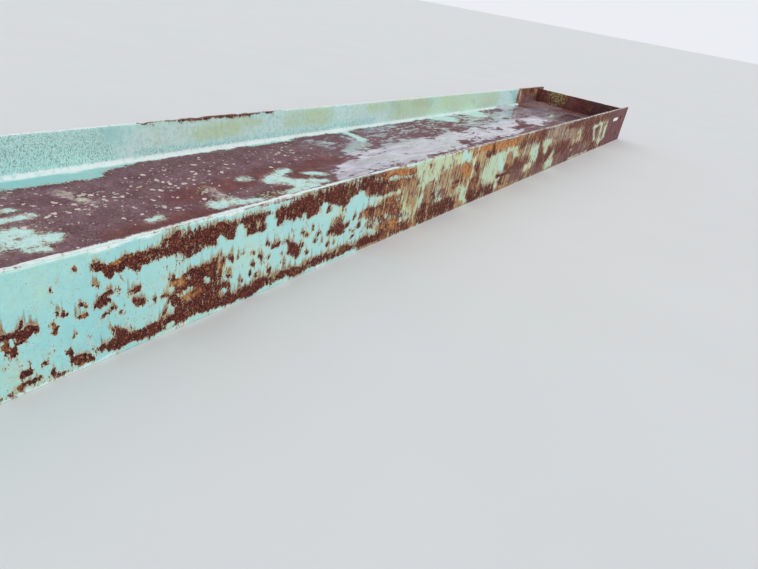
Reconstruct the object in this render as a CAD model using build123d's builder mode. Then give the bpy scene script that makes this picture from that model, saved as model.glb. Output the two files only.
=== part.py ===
from build123d import *
import os

# Rolled wide-flange girder, lying on its side: the web is level and the flanges stand upright.
# X runs along the girder towards its drilled end, Y across its depth and Z up.
# The origin is on the floor below the middle of the girder. All sizes are in millimetres.

# Rolled section
length = 6096.0
depth = 835.0
flange_width = 292.0
flange_thickness = 18.8
web_thickness = 14.0
root_radius = 17.8
flange_edge_radius = 2.0

# Stiffener plates, one on each side of the web near the drilled end
stiffener_from_end = 142.0
stiffener_thickness = 16.0
stiffener_edge_setback = 9.0
stiffener_corner_clearance = 7.2

# Weld beads round each plate
weld_leg = 8.0
weld_crown = 0.8
weld_stop = 6.0

# Two bolt holes in one flange, in a line across it beside the plates
bolt_hole_diameter = 27.0
bolt_gauge = 140.0
bolt_row_from_stiffener = 58.0

# Levels and places that follow from these sizes
clear_depth = depth - 2 * flange_thickness
trough_height = (flange_width - web_thickness) / 2
web_top = flange_width - trough_height
stiffener_x = length / 2 - stiffener_from_end
stiffener_face_x = stiffener_x + stiffener_thickness / 2
stiffener_height = trough_height - stiffener_edge_setback
stiffener_corner_clip = root_radius + stiffener_corner_clearance
bead_foot = web_top + stiffener_corner_clip + weld_stop
bead_crown = weld_leg / 2 + weld_crown
bolt_row_x = stiffener_x - bolt_row_from_stiffener

# Rolled beam: the H section with its root fillets, cut square at both ends, then drilled
with BuildPart() as rolled_beam:
    with BuildSketch(Plane.YZ.offset(-length / 2)):
        with Locations((0, flange_width / 2)):
            Rectangle(depth, flange_width)
            with GridLocations(0, web_thickness + trough_height, 1, 2):
                Rectangle(clear_depth, trough_height, mode=Mode.SUBTRACT)
        levels = vertices().group_by(Axis.Y)
        fillet(levels[1] + levels[-2], root_radius)
        fillet(levels[0] + levels[-1], flange_edge_radius)
    extrude(amount=length)
    with Locations(Plane.XZ.offset(depth / 2)):
        with Locations((bolt_row_x, flange_width / 2)):
            with GridLocations(0, bolt_gauge, 1, 2):
                Hole(bolt_hole_diameter / 2, depth=flange_thickness)
rolled_beam.part.label = "rolled_beam"

# Section of a weld bead: right-angled, with a slightly crowned face
with BuildSketch() as bead:
    with BuildLine():
        Polyline((0, weld_leg), (0, 0), (weld_leg, 0))
        ThreePointArc((weld_leg, 0), (bead_crown, bead_crown), (0, weld_leg))
    make_face()

# Upper stiffener: a plate fitted between the flanges, with its web corners cut off to clear the root
# fillets, and a bead along the web and along each flange on both of its faces
with BuildPart() as upper_stiffener:
    with BuildSketch(Plane.YZ.offset(stiffener_x)):
        with Locations((0, web_top)):
            Rectangle(clear_depth, stiffener_height, align=(Align.CENTER, Align.MIN))
        chamfer(vertices().group_by(Axis.Y)[0], stiffener_corner_clip)
    extrude(amount=stiffener_thickness / 2, both=True)
    with BuildSketch(Plane((stiffener_face_x, 0, web_top), x_dir=(1, 0, 0), z_dir=(0, -1, 0))):
        add(bead.sketch)
    extrude(amount=clear_depth / 2 - stiffener_corner_clip - weld_stop, both=True)
    with BuildSketch(Plane((stiffener_face_x, clear_depth / 2, bead_foot), x_dir=(0, -1, 0), z_dir=(0, 0, 1))):
        add(bead.sketch)
    extrude(amount=stiffener_height - stiffener_corner_clip - 2 * weld_stop)
    mirror(about=Plane.XZ)
    mirror(about=Plane.YZ.offset(stiffener_x))
upper_stiffener.part.label = "upper_stiffener"

# Lower stiffener: the same plate on the other side of the web
with BuildPart() as lower_stiffener:
    mirror(upper_stiffener.part, about=Plane.XY.offset(flange_width / 2))
lower_stiffener.part.label = "lower_stiffener"

os.makedirs("parts", exist_ok=True)
export_step(rolled_beam.part, "parts/rolled_beam.step")
export_step(upper_stiffener.part, "parts/upper_stiffener.step")
export_step(lower_stiffener.part, "parts/lower_stiffener.step")
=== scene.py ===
import math
import random

import bpy
import numpy as np
from mathutils import Matrix, Vector, noise


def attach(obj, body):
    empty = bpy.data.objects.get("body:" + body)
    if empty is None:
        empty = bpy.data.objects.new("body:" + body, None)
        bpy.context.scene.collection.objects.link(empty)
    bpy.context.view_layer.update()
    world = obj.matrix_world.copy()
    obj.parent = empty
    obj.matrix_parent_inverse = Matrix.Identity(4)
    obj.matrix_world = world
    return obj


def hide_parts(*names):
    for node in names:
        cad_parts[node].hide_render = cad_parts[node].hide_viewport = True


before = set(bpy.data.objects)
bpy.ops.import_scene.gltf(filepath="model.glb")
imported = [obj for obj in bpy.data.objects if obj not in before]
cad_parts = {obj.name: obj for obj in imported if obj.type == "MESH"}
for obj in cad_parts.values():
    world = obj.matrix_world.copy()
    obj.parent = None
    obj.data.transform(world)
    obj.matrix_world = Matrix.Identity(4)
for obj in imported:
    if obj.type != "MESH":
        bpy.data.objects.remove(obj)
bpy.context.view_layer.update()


# Helpers for selecting, for edit mode and for meshes
def choose(*pieces):  # selects these alone, with the first as the active one
    bpy.ops.object.select_all(action="DESELECT")
    for piece in pieces:
        piece.select_set(True)
    if pieces:
        bpy.context.view_layer.objects.active = pieces[0]


def pickAll():
    bpy.ops.mesh.select_all(action="SELECT")


def startEdit(piece, kind="EDGE"):
    choose(piece)
    bpy.ops.object.mode_set(mode="EDIT")
    bpy.ops.mesh.select_mode(type=kind)
    bpy.ops.mesh.select_all(action="DESELECT")


def endEdit():  # with every face turned outwards
    pickAll()
    bpy.ops.mesh.normals_make_consistent(inside=False)
    bpy.ops.object.mode_set(mode="OBJECT")


def newPiece(name):  # what was just added, with its place moved into its mesh
    piece = bpy.context.active_object
    piece.name = piece.data.name = name
    bpy.ops.object.transform_apply(location=True, rotation=True, scale=True)
    return piece


def addBlock(name, low, high, kind="EDGE"):  # a box between two corners, left in edit mode
    middle = [(a + b) / 2 for a, b in zip(low, high)]
    choose()
    bpy.ops.mesh.primitive_cube_add(size=1, location=middle)
    piece = newPiece(name)
    startEdit(piece, kind)
    pickAll()
    bpy.ops.transform.resize(value=[b - a for a, b in zip(low, high)], center_override=middle)
    return piece


def twinOf(piece):  # a copy with a mesh of its own
    twin = piece.copy()
    twin.data = piece.data.copy()
    bpy.context.collection.objects.link(twin)
    return twin


def joined(*pieces):
    choose(*pieces)
    bpy.ops.object.join()
    return pieces[0]


def placesOf(mesh):
    spots = np.empty(len(mesh.vertices) * 3)
    mesh.vertices.foreach_get("co", spots)
    return spots.reshape(-1, 3)


def movePlaces(mesh, spots):
    mesh.vertices.foreach_set("co", spots.ravel())
    mesh.update()


def facesOf(mesh):  # each face's centre and normal
    centre, normal = np.empty(len(mesh.polygons) * 3), np.empty(len(mesh.polygons) * 3)
    mesh.polygons.foreach_get("center", centre)
    mesh.polygons.foreach_get("normal", normal)
    return centre.reshape(-1, 3), normal.reshape(-1, 3)


def pickEdges(piece, wanted):  # selects the edges whose two end points pass
    bpy.ops.mesh.select_all(action="DESELECT")
    bpy.ops.object.mode_set(mode="OBJECT")
    mesh = piece.data
    ends = np.empty(len(mesh.edges) * 2, dtype=np.int32)
    mesh.edges.foreach_get("vertices", ends)
    spots = placesOf(mesh)
    mesh.edges.foreach_set("select", wanted(spots[ends[0::2]], spots[ends[1::2]]))
    bpy.ops.object.mode_set(mode="EDIT")


def pickFaces(piece, wanted):  # selects the faces whose centre and normal pass
    bpy.ops.mesh.select_all(action="DESELECT")
    bpy.ops.object.mode_set(mode="OBJECT")
    piece.data.polygons.foreach_set("select", wanted(*facesOf(piece.data)))
    bpy.ops.object.mode_set(mode="EDIT")


# Helpers for nodes: they add to the tree opened last, take numbers or sockets, and give back a socket
opened = {"tree": None}


def tint(red, green, blue):  # a colour as it looks on screen, 0 to 255, made linear for a shader
    return tuple(((c / 255 + 0.055) / 1.055) ** 2.4 if c > 10 else c / 3294.6 for c in (red, green, blue)) + (1.0,)


def addNode(kind, **settings):
    tree = opened["tree"]
    made = tree.nodes.new("ShaderNode" + kind)
    made.location = (190 * (len(tree.nodes) % 14), -170 * (len(tree.nodes) // 14))
    for key, value in settings.items():
        setattr(made, key, value)
    return made


def plug(socket, value):
    if isinstance(value, bpy.types.NodeSocket):
        opened["tree"].links.new(value, socket)
    elif value is not None:
        socket.default_value = value


def maths(operation, *values):
    made = addNode("Math", operation=operation)
    for socket, value in zip(made.inputs, values):
        plug(socket, value)
    return made.outputs[0]


def times(a, b):
    return maths("MULTIPLY", a, b)


def plus(a, b):
    return maths("ADD", a, b)


def weighed(a, shareA, b, shareB=None):  # shareA of a, plus b or a share of it
    return maths("MULTIPLY_ADD", a, shareA, b if shareB is None else times(b, shareB))


def spread(value, low, high, toLow=0.0, toHigh=1.0, soft=False):
    made = addNode("MapRange", interpolation_type="SMOOTHSTEP" if soft else "LINEAR")
    for socket, given in zip(made.inputs, (value, low, high, toLow, toHigh)):
        plug(socket, given)
    return made.outputs[0]


def mixColor(amount, a, b, blend="MIX"):
    made = addNode("Mix", data_type="RGBA", blend_type=blend)
    for name, value in (("Factor_Float", amount), ("A_Color", a), ("B_Color", b)):
        plug(next(s for s in made.inputs if s.identifier == name), value)
    return next(s for s in made.outputs if s.identifier == "Result_Color")


def stretched(vector, factors):
    made = addNode("VectorMath", operation="MULTIPLY")
    plug(made.inputs[0], vector)
    made.inputs[1].default_value = factors
    return made.outputs[0]


def clouds(vector, scale, detail=3.0, rough=0.55, factors=None, distort=0.0):
    made = addNode("TexNoise")
    plug(made.inputs["Vector"], stretched(vector, factors) if factors else vector)
    for name, value in (("Scale", scale), ("Detail", detail), ("Roughness", rough), ("Distortion", distort)):
        made.inputs[name].default_value = value
    return made.outputs["Fac"]


def newGroup(name, inputs, outputs):
    tree = opened["tree"] = bpy.data.node_groups.new(name, "ShaderNodeTree")
    for label, kind, value in inputs:
        socket = tree.interface.new_socket(name=label, in_out="INPUT", socket_type="NodeSocket" + kind)
        if value is not None:
            socket.default_value = value
    for label, kind in outputs:
        tree.interface.new_socket(name=label, in_out="OUTPUT", socket_type="NodeSocket" + kind)
    return tree, tree.nodes.new("NodeGroupInput").outputs, tree.nodes.new("NodeGroupOutput").inputs


def useGroup(group, **values):
    made = addNode("Group", node_tree=group)
    for key, value in values.items():
        plug(made.inputs[key], value)
    return made.outputs


def newMaterial(name):
    made = bpy.data.materials.new(name)
    made.use_nodes = True
    opened["tree"] = made.node_tree
    return made, made.node_tree.nodes["Principled BSDF"].inputs, addNode("TexCoord").outputs["Object"]


def shade(shader, color, roughness, height=None, distance=0.0, strength=0.9):
    plug(shader["Base Color"], color)
    plug(shader["Roughness"], roughness)
    if height is not None:
        made = addNode("Bump")
        made.inputs["Strength"].default_value = strength
        made.inputs["Distance"].default_value = distance
        plug(made.inputs["Height"], height)
        plug(shader["Normal"], made.outputs["Normal"])


# Camera, floor and light
studio = {
    "eye": (-2.7822, -1.4735, 0.8732),
    "yaw": 29.359, "pitch": 26.762, "roll": -10.529,  # degrees
    "lens": 27.447, "farthest": 600,
    "floorSize": 240.0, "floorDrop": 0.0005,  # the floor lies just below the beam
    "floorTones": (tint(226, 227, 226), tint(220, 221, 220)),
    "skyTone": tint(236, 238, 243),
    "fill": 0.74,
    "suns": (((-2.2, -5.0, 3.6), 1.3), ((2.0, 4.0, 5.0), 0.2)),  # where each wide sun stands, and its strength
    "sunWidth": 60,
}


def addCamera():
    yaw, pitch, roll = (math.radians(studio[key]) for key in ("yaw", "pitch", "roll"))
    ahead = Vector((math.cos(pitch) * math.cos(yaw), math.cos(pitch) * math.sin(yaw), -math.sin(pitch)))
    level = ahead.cross(Vector((0, 0, 1))).normalized()
    under = ahead.cross(level)
    right = level * math.cos(roll) + under * math.sin(roll)
    down = under * math.cos(roll) - level * math.sin(roll)
    bpy.ops.object.camera_add(location=studio["eye"])
    camera = bpy.context.active_object
    turned = Matrix((right, -down, -ahead)).transposed().to_4x4()
    camera.matrix_world = Matrix.Translation(studio["eye"]) @ turned
    camera.data.lens = studio["lens"]
    camera.data.clip_end = studio["farthest"]
    bpy.context.scene.camera = camera


def addFloor():
    choose()
    bpy.ops.mesh.primitive_plane_add(size=studio["floorSize"], location=(0, 0, -studio["floorDrop"]))
    floor = newPiece("floor")
    made, shader, place = newMaterial("paleFloor")
    shade(shader, mixColor(clouds(place, 1.5, 3), *studio["floorTones"]), 0.8)
    floor.data.materials.append(made)


def addLight():
    world = bpy.data.worlds.new("paleStudio")
    bpy.context.scene.world = world
    world.use_nodes = True
    opened["tree"] = world.node_tree
    ground = world.node_tree.nodes["Background"].inputs
    ground["Color"].default_value = studio["skyTone"]
    path = addNode("LightPath").outputs
    seen = maths("MAXIMUM", path["Is Camera Ray"], path["Is Glossy Ray"])
    seen = maths("MAXIMUM", seen, path["Is Transmission Ray"])
    plug(ground["Strength"], spread(seen, 0, 1, studio["fill"], 1.0))
    for spot, strength in studio["suns"]:
        bpy.ops.object.light_add(type="SUN", location=spot)
        lamp = bpy.context.active_object
        lamp.data.energy = strength
        lamp.data.angle = math.radians(studio["sunWidth"])
        lamp.rotation_euler = (-Vector(spot)).to_track_quat("-Z", "Y").to_euler()


addCamera()
addFloor()
addLight()
bpy.context.scene.view_settings.view_transform = "Standard"
print("camera, floor and light set")

# Rolled beam: the section is drawn at one end, drawn out, rounded and cut up finely enough for its wear
beam = {
    "length": 6.096, "depth": 0.835, "width": 0.292,
    "flange": 0.0188, "web": 0.014, "root": 0.0178, "tip": 0.002,
    "rootSteps": 4, "tipSteps": 2,
    "zones": ((-3.048, -2.45, 40), (-2.45, -1.4, 190), (-1.4, 0.4, 170), (0.4, 3.048, 190)),  # start, end, cuts
    "cuts": {"outerNear": 47, "outerFar": 17, "innerTop": 11, "innerLow": 7, "webTop": 37, "webLow": 17, "tip": 1},
    "holeRadius": 0.0135, "holeX": 2.848, "holeZ": (0.076, 0.216), "holeSides": 32,
}


def drawBeam():
    half, side, middle = beam["length"] / 2, beam["depth"] / 2, beam["width"] / 2
    inner = side - beam["flange"]
    webLow, webTop = middle - beam["web"] / 2, middle + beam["web"] / 2
    start = (-half, 0, middle)
    choose()
    bpy.ops.mesh.primitive_plane_add(size=1, location=start, rotation=(0, math.radians(90), 0))
    piece = newPiece("weathered_beam")
    startEdit(piece, "VERT")
    pickAll()
    bpy.ops.transform.resize(value=(1, beam["depth"], beam["width"]), center_override=start)
    for spot, across in (((0, 0, webLow), (0, 0, 1)), ((0, 0, webTop), (0, 0, 1)),
                         ((0, -inner, 0), (0, 1, 0)), ((0, inner, 0), (0, 1, 0))):
        pickAll()
        bpy.ops.mesh.bisect(plane_co=spot, plane_no=across)
    bpy.ops.mesh.select_mode(type="FACE")
    pickFaces(piece, lambda c, n: (abs(c[:, 1]) < inner) & (abs(c[:, 2] - middle) > beam["web"]))
    bpy.ops.mesh.delete(type="FACE")
    pickAll()
    bpy.ops.mesh.extrude_region_move(TRANSFORM_OT_translate={"value": (beam["length"], 0, 0)})
    pickFaces(piece, lambda c, n: abs(abs(c[:, 0]) - half) < 1e-4)
    bpy.ops.mesh.delete(type="FACE")  # the ends are closed again once the sides are cut up
    bpy.ops.mesh.select_mode(type="EDGE")

    def beside(a, b, level):  # edges along the beam by the web's two faces, at a distance across it
        long = abs(a[:, 0] - b[:, 0]) > 1.0
        return long & (abs(abs(a[:, 1]) - level) < 1e-5) & (abs(a[:, 2] - middle) < 0.1)

    pickEdges(piece, lambda a, b: beside(a, b, side))  # lines left by the web's cuts on the outer faces
    bpy.ops.mesh.dissolve_edges(use_verts=True)
    pickEdges(piece, lambda a, b: beside(a, b, inner))
    bpy.ops.mesh.bevel(offset=beam["root"], segments=beam["rootSteps"], affect="EDGES", clamp_overlap=False)
    pickEdges(piece, lambda a, b: (abs(a[:, 0] - b[:, 0]) > 1.0) & (abs(abs(a[:, 2] - middle) - middle) < 1e-5))
    bpy.ops.mesh.bevel(offset=beam["tip"], segments=beam["tipSteps"], affect="EDGES", clamp_overlap=False)

    def onInner(a):
        return abs(abs(a[:, 1]) - inner) < 1e-5

    strips = (  # which lines across a side are cut up, and from what length
        ("outerNear", lambda a: a[:, 1] < -side + 1e-5, 0.2),
        ("outerFar", lambda a: a[:, 1] > side - 1e-5, 0.2),
        ("innerTop", lambda a: onInner(a) & (a[:, 2] > middle), 0.1),
        ("innerLow", lambda a: onInner(a) & (a[:, 2] < middle), 0.1),
        ("webTop", lambda a: abs(a[:, 2] - webTop) < 1e-5, 0.5),
        ("webLow", lambda a: abs(a[:, 2] - webLow) < 1e-5, 0.5),
        ("tip", lambda a: abs(abs(a[:, 2] - middle) - middle) < 1e-5, 0.012),
    )
    for name, lies, least in strips:
        pickEdges(piece, lambda a, b: lies(a) & lies(b) & (abs(a[:, 0] - b[:, 0]) < 1e-6)
                  & (np.linalg.norm(a - b, axis=1) > least))
        bpy.ops.mesh.subdivide(number_cuts=beam["cuts"][name])
    for start, end, cuts in beam["zones"][1:]:
        pickAll()
        bpy.ops.mesh.bisect(plane_co=(start, 0, 0), plane_no=(1, 0, 0))
    for start, end, cuts in beam["zones"]:
        pickEdges(piece, lambda a, b: (abs(a[:, 0] - b[:, 0]) > 0.3) & (abs((a + b)[:, 0] - start - end) < 1e-3))
        bpy.ops.mesh.subdivide(number_cuts=cuts)
    for end in (-half, half):
        pickEdges(piece, lambda a, b: (abs(a[:, 0] - end) < 1e-5) & (abs(b[:, 0] - end) < 1e-5))
        bpy.ops.mesh.edge_face_add()
    endEdit()
    return piece


def drillHoles(piece):
    drills = []
    choose()
    for height in beam["holeZ"]:
        bpy.ops.mesh.primitive_cylinder_add(
            vertices=beam["holeSides"], radius=beam["holeRadius"], depth=4 * beam["flange"],
            location=(beam["holeX"], -beam["depth"] / 2, height), rotation=(math.radians(90), 0, 0))
        drills.append(bpy.context.active_object)
    cutter = joined(*drills)
    choose(piece)
    bpy.ops.object.modifier_add(type="BOOLEAN")
    cut = piece.modifiers[-1]
    cut.operation, cut.solver, cut.object = "DIFFERENCE", "EXACT", cutter
    bpy.ops.object.modifier_apply(modifier=cut.name)
    bpy.data.objects.remove(cutter)


steel = drawBeam()
drillHoles(steel)
print("beam drawn:", len(steel.data.vertices), "points,", len(steel.data.polygons), "faces")

# Wear is brushed onto the beam. A finish gives paint loss, orange rust, stain, smooth mauve oxide, wetness,
# chalk, grime and primer, in hundredths; the wetness share also sets a painted sky reflection, and the chalk share
# also paints faces and edges lighter where they catch more light.
finishes = {
    "sound": (-4, 20, 4, 0, 0, 0, 15, 0), "speckled": (-22, 20, 2, 0, 0, 84, 100, 0),
    "flecked": (7, 30, 12, 0, 0, 0, 20, 0), "crusty": (12, 30, 24, 0, 0, 85, 0, 0),
    "filletHighlight": (-20, 20, 0, 0, 0, 130, 0, 0), "pale": (-14, 20, 30, 0, 0, 90, 25, 0),
    "greened": (-14, 20, 54, 0, 0, 85, 10, 0), "olive": (-12, 20, 60, 0, 0, 45, 10, 0),
    "holeWall": (115, 0, 20, 0, 0, 0, 0, 0), "rubbedAndHighlit": (60, 20, 20, 70, 0, 110, 0, 30),
    "lichen": (60, 50, 55, 60, 0, 90, 0, 0), "dusky": (66, 24, 90, 15, 0, 10, 20, 0),
    "dusty": (62, 40, 90, 25, 0, 45, 10, 0), "yellowed": (16, 40, 60, 0, 0, 20, 30, 0),
    "spotty": (26, 30, 25, 0, 0, 0, 20, 0), "streaked": (52, 60, 95, 10, 0, 10, 20, 0),
    "half": (55, 30, 40, 20, 0, 0, 20, 0), "rust": (84, 3, 30, 0, 0, 0, 0, 0), "ember": (66, 55, 60, 0, 0, 0, 0, 0),
    "brown": (86, 42, 75, 10, 0, 0, 0, 0), "maroon": (90, 10, 72, 12, 0, 0, 0, 10),
    "ochre": (45, 90, 95, 0, 0, 10, 0, 0), "orange": (88, 95, 75, 0, 0, 0, 0, 0),
    "faded": (8, 40, 58, 0, 0, 0, 20, 0), "murk": (86, 20, 80, 55, 0, 0, 0, 0),
    "bareEnd": (115, 15, 20, 55, 0, 0, 0, 10), "silty": (110, 25, 20, 40, 0, 0, 0, 0),
    "oxide": (115, 10, 20, 100, 0, 0, 0, 0), "redOxide": (115, 15, 20, 45, 0, 0, 0, 30),
    "dampEdge": (105, 5, 20, 100, 30, 0, 0, 0), "dampOxide": (95, 5, 20, 90, 62, 0, 0, 0),
    "wetOxide": (95, 5, 20, 80, 100, 0, 0, 0), "wetPaint": (45, 10, 20, 80, 90, 30, 10, 0),
    "pool": (105, 5, 20, 50, 120, 0, 0, 0), "cream": (20, 40, 45, 30, 0, 90, 0, 0),
    "worn": (8, 30, 10, 40, 0, 130, 0, 20), "wornOxide": (85, 30, 20, 80, 0, 50, 0, 20),
    "primed": (80, 30, 20, 40, 0, 25, 0, 100),
}
finishes = {name: np.array(shares) / 100 for name, shares in finishes.items()}
brush = {
    "reach": 1.65, "soft": 1.3,  # where a stroke ends and how far it fades, in its radius
    "bareFrom": 2420, "bareSoft": 60,  # the drilled end was left unpainted on every face, from here on, millimetres
    "runSteps": (6, 12, 20, 30, 42), "runLength": 28,  # rust runs above a rusty spot
    "paleFrom": -2150, "paleSoft": 500, "paleStain": 0.08, "paleChalk": 0.26,  # paler paint on the drilled flange
}

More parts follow.
